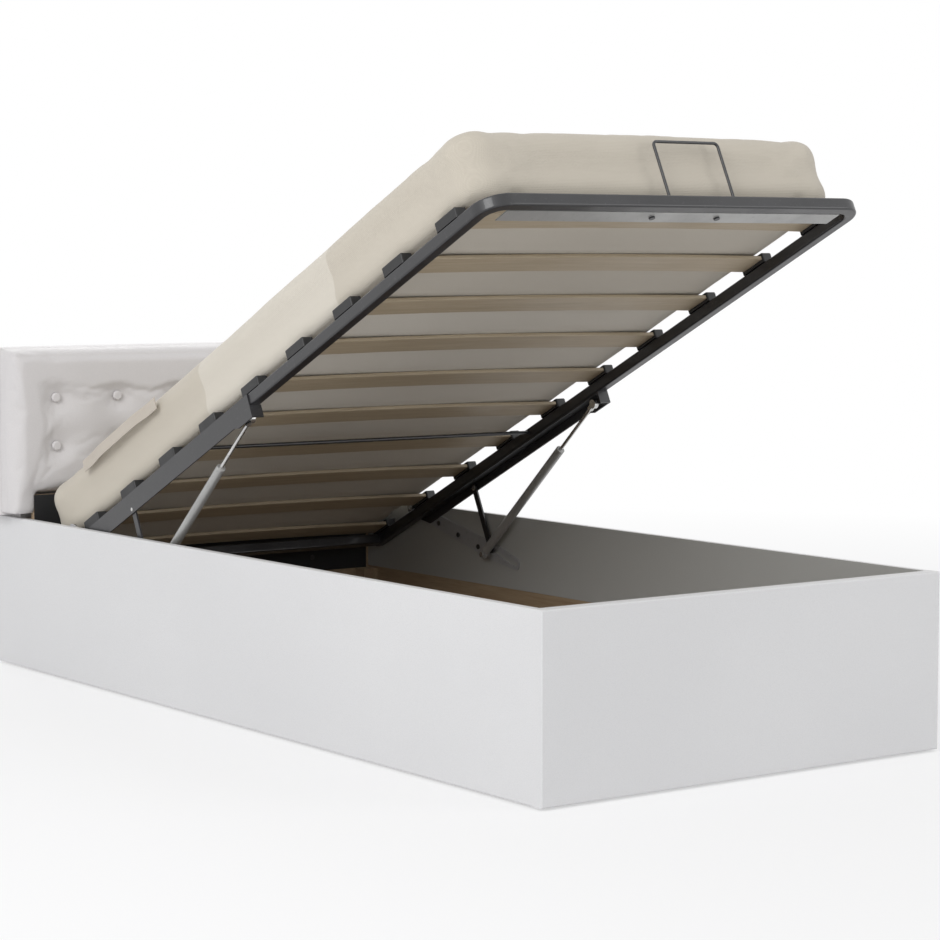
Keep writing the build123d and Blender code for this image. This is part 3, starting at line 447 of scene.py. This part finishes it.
def swell(piece, s, pinned=None):
    start = [v.co.copy() for v in piece.data.vertices]
    if pinned:
        group = piece.vertex_groups.new(name="sewn")
        for index, weight in pinned.items():
            group.add([index], weight, "REPLACE")
    modifier = piece.modifiers.new("swell", "CLOTH")
    cloth = modifier.settings
    cloth.use_pressure = True
    cloth.uniform_pressure_force = s["pressure"]
    cloth.effector_weights.gravity = 0
    cloth.quality = s["quality"]
    cloth.tension_stiffness = s["tension"]
    cloth.compression_stiffness = s["tension"]
    cloth.bending_stiffness = s["bending"]
    modifier.collision_settings.use_collision = False
    modifier.collision_settings.use_self_collision = False
    if pinned:
        cloth.vertex_group_mass = "sewn"
    scene = bpy.context.scene
    modifier.point_cache.frame_start = 1
    modifier.point_cache.frame_end = s["frames"]
    for f in range(1, s["frames"] + 1):
        scene.frame_set(f)
    evaluated = piece.evaluated_get(bpy.context.evaluated_depsgraph_get())
    ended = [v.co.copy() for v in evaluated.data.vertices]
    piece.modifiers.remove(modifier)
    scene.frame_set(1)
    for v, a, b in zip(piece.data.vertices, start, ended):
        move = b - a
        if move.length > s["cap"]:
            move *= s["cap"] / move.length
        v.co = a + move
    if pinned:
        piece.vertex_groups.remove(piece.vertex_groups["sewn"])


def smoothed(piece):
    piece.data.polygons.foreach_set("use_smooth", [True] * len(piece.data.polygons))
    subdivision = piece.modifiers.new("fine", "SUBSURF")
    subdivision.levels = 1
    subdivision.render_levels = 1


def bell(distance, width):
    return math.exp(-((distance / width) ** 2))


mattressSettings = {
    "voxel": 0.011, "shrink": 0.003, "pressure": 4.0, "quality": 4, "tension": 12.0, "bending": 0.8,
    "frames": 14, "cap": 0.009, "ripple": 0.0016, "rippleSize": 0.17, "sag": 0.002,
    "seams": (0.545, 1.09), "seamDepth": 0.0022, "seamWidth": 0.007,
    "seamShare": 0.42, "border": 0.03, "lowShare": 0.15, "slatHalf": 0.034, "slatFade": 0.03,
    "flatShare": 0.06, "flattened": 0.4,
}


# Where the foot tube starts, along the lid from its hinge
def footOfLid():
    toLocal = lidMatrix.inverted()
    return min((toLocal @ v.co).y for v in nodes["foot_tube"].data.vertices)


def makeMattress(s):
    toLocal = lidMatrix.inverted()
    piece, low, high = remeshed("mattressBody", nodes["mattress"], toLocal, s["shrink"], s["voxel"])
    print("mattress points", len(piece.data.vertices))
    swell(piece, s)
    slatPlaces = []
    for name in nodes:
        if slots[name] == "slat_wood":
            slatLow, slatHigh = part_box(name)
            middle = toLocal @ ((slatLow + slatHigh) / 2)
            slatPlaces.append(middle.y)
    tubeLow = footOfLid()
    thickness = high.z - low.z
    for v in piece.data.vertices:
        co = v.co
        share = (co.z - low.z) / thickness
        ripple = noise.noise(co / s["rippleSize"]) + 0.5 * noise.noise(co / (s["rippleSize"] * 0.45))
        co += v.normal * ripple * s["ripple"]
        onSide = 1 - min(1, abs(share - 0.5) / s["seamShare"])
        for seam in s["seams"]:
            pull = bell(co.y - (tubeLow + seam), s["seamWidth"]) * max(0, onSide) ** 0.3
            if abs(abs(co.x) - high.x) < s["border"]:
                co.x -= math.copysign(s["seamDepth"] * pull, co.x)
        if share < s["lowShare"] and abs(co.x) < high.x - s["border"]:
            nearest = min(abs(co.y - y) for y in slatPlaces)
            gap = min(1, max(0, (nearest - s["slatHalf"]) / s["slatFade"]))
            inside = min(1, max(0, (high.x - s["border"] - abs(co.x)) / s["border"]))
            floor = low.z - s["sag"] * gap * inside * (3 - 2 * gap) * gap
        else:
            floor = low.z
        co.z = min(max(co.z, floor), high.z)
        if share < s["flatShare"] and co.z > floor:
            co.z = floor + (co.z - floor) * s["flattened"]
        co.x = min(max(co.x, low.x), high.x)
        co.y = min(max(co.y, low.y), high.y)
    piece.data.transform(lidMatrix)
    piece.data.materials.append(makeMattressCloth(mattressClothSettings, tubeLow))
    smoothed(piece)
    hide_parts("mattress")
    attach(piece, "lid")
    return high


mattressHigh = makeMattress(mattressSettings)
print("mattress made")


padSettings = {
    "voxel": 0.0065, "shrink": 0.004, "pressure": 5.0, "quality": 5, "tension": 10.0, "bending": 0.3,
    "frames": 14, "cap": 0.012, "pinRadius": 0.013, "rim": 0.010,
    "backBand": 0.004, "pinFade": 1.8, "pinSoft": 0.3, "buttonSeat": 0.002,
    "groove": 0.723, "grooveDepth": 0.004, "grooveWidth": 0.004,
}


def buttonPlaces():
    found = []
    for v in nodes["headboard_buttons"].data.vertices:
        place = Vector((v.co.x, 0, v.co.z))
        near = [f for f in found if (f[0] - place).length < 0.03]
        if near:
            near[0][1].append(place)
        else:
            found.append((place, [place]))
    return [(min(p.x for p in ps) + max(p.x for p in ps), min(p.z for p in ps) + max(p.z for p in ps))
            for _, ps in found]


def makePad(s):
    source = nodes["headboard_pad"]
    piece, low, high = remeshed("headboardPad", source, Matrix.Identity(4), s["shrink"], s["voxel"])
    print("pad points", len(piece.data.vertices))
    buttons = [(x / 2, z / 2) for x, z in buttonPlaces()]
    pinned = {}
    back = high.y - s["shrink"] - s["backBand"]
    for v in piece.data.vertices:
        toButton = min(math.hypot(v.co.x - x, v.co.z - z) for x, z in buttons)
        if v.co.y > back:
            pinned[v.index] = 1.0
        elif toButton < s["pinRadius"]:
            pinned[v.index] = 1.0
        elif toButton < s["pinRadius"] * s["pinFade"]:
            pinned[v.index] = s["pinSoft"]
    swell(piece, s, pinned)
    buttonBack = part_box("headboard_buttons")[1].y
    for v in piece.data.vertices:
        co = v.co
        toButton = min(math.hypot(co.x - x, co.z - z) for x, z in buttons)
        front = co.y < (low.y + high.y) / 2
        if front:
            co.y += s["grooveDepth"] * bell(co.z - s["groove"], s["grooveWidth"])
        if front and toButton < s["pinRadius"]:
            co.y = max(co.y, buttonBack - s["buttonSeat"])
        if co.y > high.y - s["rim"]:
            co.y = high.y
            if abs(co.x) > high.x - s["rim"]:
                co.x = math.copysign(high.x, co.x)
            if co.z > high.z - s["rim"]:
                co.z = high.z
        co.y = min(max(co.y, low.y), high.y)
        co.x = min(max(co.x, low.x), high.x)
        co.z = min(max(co.z, low.z), high.z)
    piece.data.materials.append(padCover)
    smoothed(piece)
    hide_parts("headboard_pad")
    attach(piece, "bed_base")


makePad(padSettings)
print("headboard pad made")


# Strap handles: a band that stands a little off the border between its two sewn ends
strapSettings = {
    "thick": 0.0018, "bow": 0.006, "steps": 36, "sewn": 0.034, "lift": 0.07, "across": 6,
    "dome": 0.0006, "narrowed": 0.06, "clear": 0.0004,
}


def makeStraps(s):
    toLocal = lidMatrix.inverted()
    places = [toLocal @ v.co for v in nodes["mattress_handles"].data.vertices]
    low = Vector([min(p[i] for p in places) for i in range(3)])
    high = Vector([max(p[i] for p in places) for i in range(3)])
    inner = mattressHigh.x + s["clear"]
    points, faces = [], []
    for side in (-1, 1):
        first = len(points)
        for i in range(s["steps"] + 1):
            share = i / s["steps"]
            along = low.y + (high.y - low.y) * share
            run = (high.y - low.y) * min(share, 1 - share)
            rise = min(1, max(0, (run - s["sewn"]) / s["lift"]))
            off = s["bow"] * rise * rise * (3 - 2 * rise)
            edgeHalf = (high.z - low.z) / 2 * (1 - s["narrowed"] * rise)
            middle = (high.z + low.z) / 2
            ring = []
            for j in range(s["across"] + 1):
                across = 2 * j / s["across"] - 1
                dome = s["dome"] * (1 - across * across)
                ring.append((off + s["thick"] + dome, middle + edgeHalf * across))
            for j in range(s["across"], -1, -1):
                across = 2 * j / s["across"] - 1
                ring.append((off, middle + edgeHalf * across))
            for out, height in ring:
                points.append(lidMatrix @ Vector((side * (inner + out), along, height)))
        count = 2 * (s["across"] + 1)
        for i in range(s["steps"]):
            for j in range(count):
                a = first + i * count + j
                b = first + i * count + (j + 1) % count
                quad = [a, b, b + count, a + count]
                faces.append(quad if side > 0 else quad[::-1])
        startCap = [first + j for j in range(count)]
        endCap = [first + s["steps"] * count + j for j in range(count)]
        faces.append(startCap[::-1] if side > 0 else startCap)
        faces.append(endCap if side > 0 else endCap[::-1])
    mesh = bpy.data.meshes.new("mattressStraps")
    mesh.from_pydata(points, [], faces)
    mesh.update()
    piece = bpy.data.objects.new("mattressStraps", mesh)
    bpy.context.scene.collection.objects.link(piece)
    mesh.materials.append(materials["handle_strap"])
    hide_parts("mattress_handles")
    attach(piece, "lid")


makeStraps(strapSettings)
print("straps made")


# Floor, background and lamps

stageSettings = {
    "floorSize": 60.0, "floorColour": (0.86, 0.86, 0.87), "glow": 0.55,
    "nearWhite": 2.0, "farWhite": 4.5, "worldLight": 0.62,
}


def makeStage(s):
    half = s["floorSize"] / 2
    mesh = bpy.data.meshes.new("floor")
    corners = [(-half, -half, 0), (half, -half, 0), (half, half, 0), (-half, half, 0)]
    mesh.from_pydata(corners, [], [(0, 1, 2, 3)])
    floor = bpy.data.objects.new("floor", mesh)
    floor.location.z = -0.0005
    bpy.context.scene.collection.objects.link(floor)
    material, tree, skin = newMaterial("paleFloor", roughness=0.9)
    skin.inputs["Base Color"].default_value = (*s["floorColour"], 1)
    skin.inputs["Specular IOR Level"].default_value = 0.0
    coords = addNode(tree, "ShaderNodeTexCoord").outputs["Object"]
    distance = addNode(tree, "ShaderNodeVectorMath", {0: coords}, operation="LENGTH").outputs["Value"]
    far = rangeNode(tree, distance, s["nearWhite"], s["farWhite"], s["glow"], 1.0)
    path = addNode(tree, "ShaderNodeLightPath")
    seen = mathNode(tree, "MAXIMUM", path.outputs["Is Camera Ray"], path.outputs["Is Glossy Ray"])
    seen = mathNode(tree, "MAXIMUM", seen, path.outputs["Is Transmission Ray"])
    white = addNode(tree, "ShaderNodeEmission", {"Color": (1, 1, 1, 1), "Strength": 1.0})
    mix = addNode(tree, "ShaderNodeMixShader", {0: mathNode(tree, "MULTIPLY", seen, far)})
    tree.links.new(skin.outputs[0], mix.inputs[1])
    tree.links.new(white.outputs[0], mix.inputs[2])
    output = next(n for n in tree.nodes if n.type == "OUTPUT_MATERIAL")
    tree.links.new(mix.outputs[0], output.inputs[0])
    mesh.materials.append(material)

    world = bpy.data.worlds.new("studio")
    bpy.context.scene.world = world
    world.use_nodes = True
    tree = world.node_tree
    tree.nodes.clear()
    path = addNode(tree, "ShaderNodeLightPath")
    seen = mathNode(tree, "MAXIMUM", path.outputs["Is Camera Ray"], path.outputs["Is Glossy Ray"])
    seen = mathNode(tree, "MAXIMUM", seen, path.outputs["Is Transmission Ray"])
    strength = rangeNode(tree, seen, 0.0, 1.0, s["worldLight"], 1.0)
    sky = addNode(tree, "ShaderNodeBackground", {"Color": (1, 1, 1, 1), "Strength": strength})
    output = addNode(tree, "ShaderNodeOutputWorld")
    tree.links.new(sky.outputs[0], output.inputs[0])


lampSettings = [
    {"name": "keyLamp", "place": (-5.5, -2.5, 4.0), "aim": (0, 0, 0.4), "size": 3.0, "power": 200.0},
    {"name": "fillLamp", "place": (3.5, -5.0, 2.5), "aim": (0, 0, 0.5), "size": 3.0, "power": 60.0},
    {"name": "backLamp", "place": (1.5, 4.5, 3.5), "aim": (0, 0, 0.6), "size": 3.0, "power": 60.0},
]


def makeLamp(s):
    data = bpy.data.lights.new(s["name"], "AREA")
    data.size = s["size"]
    data.energy = s["power"]
    lamp = bpy.data.objects.new(s["name"], data)
    lamp.location = s["place"]
    aim = Vector(s["aim"]) - Vector(s["place"])
    lamp.rotation_euler = aim.to_track_quat("-Z", "Y").to_euler()
    bpy.context.scene.collection.objects.link(lamp)


makeStage(stageSettings)
for lamp in lampSettings:
    makeLamp(lamp)
print("stage and lamps made")
